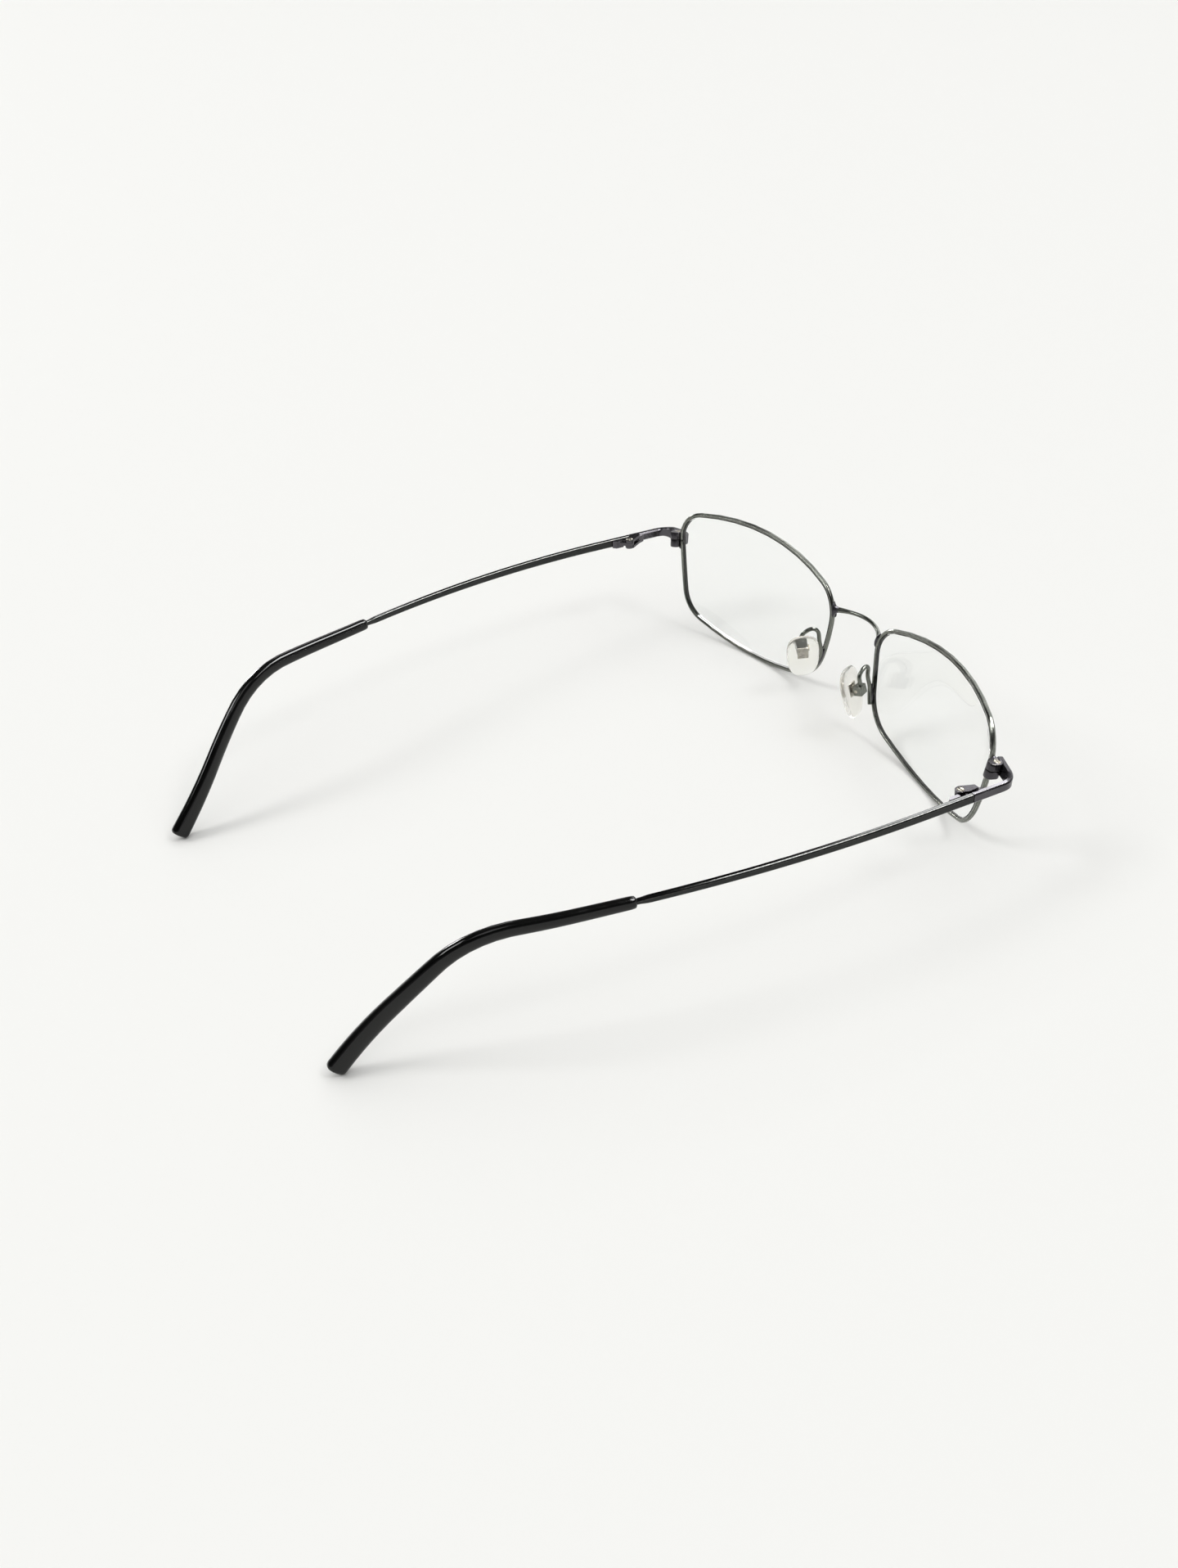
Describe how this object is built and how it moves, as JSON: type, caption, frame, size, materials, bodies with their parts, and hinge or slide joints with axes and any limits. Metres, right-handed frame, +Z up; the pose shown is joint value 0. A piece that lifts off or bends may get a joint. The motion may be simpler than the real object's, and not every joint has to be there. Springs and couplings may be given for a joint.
{
  "type": "square eyeglasses",
  "caption": "Square metal-rimmed eyeglasses with clear curved lenses, hinged folding temples with plastic tips, and rocking nose pads on wire arms.",
  "frame": {"origin": "centre of the bounding box's bottom face, on the table the glasses rest on", "axes": "+X towards the wearer's left temple, +Y back along the temples, +Z up from the table; millimetres in the source, metres here"},
  "size_m": [0.1316, 0.1466, 0.0298],
  "materials": {
    "gunmetal_rim": "satin dark gunmetal plating on thin wire",
    "gunmetal_bar": "semi-gloss purple-grey gunmetal plating",
    "screw_steel": "small turned screw heads",
    "black_plastic": "glossy black acetate",
    "lens_glass": "clear, thin, slightly reflective",
    "clear_silicone": "soft clear silicone, slightly cloudy",
    "insert_metal": "small polished plate"
  },
  "bodies": {
    "front": {"rim_left": "gunmetal_rim", "rim_right": "gunmetal_rim", "lens_left": "lens_glass", "lens_right": "lens_glass", "bridge": "gunmetal_rim", "lock_upper_left": "gunmetal_rim", "lock_upper_right": "gunmetal_rim", "lock_lower_left": "gunmetal_rim", "lock_lower_right": "gunmetal_rim", "lock_screw_left": "screw_steel", "lock_screw_right": "screw_steel", "end_piece_left": "gunmetal_bar", "end_piece_right": "gunmetal_bar", "hinge_front_left": "gunmetal_bar", "hinge_front_right": "gunmetal_bar", "hinge_screw_left": "screw_steel", "hinge_screw_right": "screw_steel", "pad_arm_left": "gunmetal_rim", "pad_arm_right": "gunmetal_rim", "pad_box_left": "gunmetal_rim", "pad_box_right": "gunmetal_rim", "pad_screw_left": "screw_steel", "pad_screw_right": "screw_steel"},
    "temple_left": {"temple_left": "gunmetal_bar", "hinge_temple_left": "gunmetal_bar", "tip_left": "black_plastic"},
    "temple_right": {"temple_right": "gunmetal_bar", "hinge_temple_right": "gunmetal_bar", "tip_right": "black_plastic"},
    "pad_left": {"nose_pad_left": "clear_silicone", "pad_insert_left": "insert_metal"},
    "pad_right": {"nose_pad_right": "clear_silicone", "pad_insert_right": "insert_metal"}
  },
  "joints": [
    {"name": "temple_fold_left", "type": "hinge", "parent": "front", "child": "temple_left", "pos_m": [0.06255, -0.04955, 0.02134], "axis": [0, 0, 1], "range_deg": [0, 83]},
    {"name": "temple_fold_right", "type": "hinge", "parent": "front", "child": "temple_right", "pos_m": [-0.06255, -0.04955, 0.02134], "axis": [0, 0, -1], "range_deg": [0, 77]},
    {"name": "pad_rock_left", "type": "hinge", "parent": "front", "child": "pad_left", "pos_m": [0.01069, -0.06265, 0.01302], "axis": [0.4384, 0.8988, 0], "range_deg": [-10, 10]},
    {"name": "pad_rock_right", "type": "hinge", "parent": "front", "child": "pad_right", "pos_m": [-0.01069, -0.06265, 0.01302], "axis": [-0.4384, 0.8988, 0], "range_deg": [-10, 10]}
  ]
}
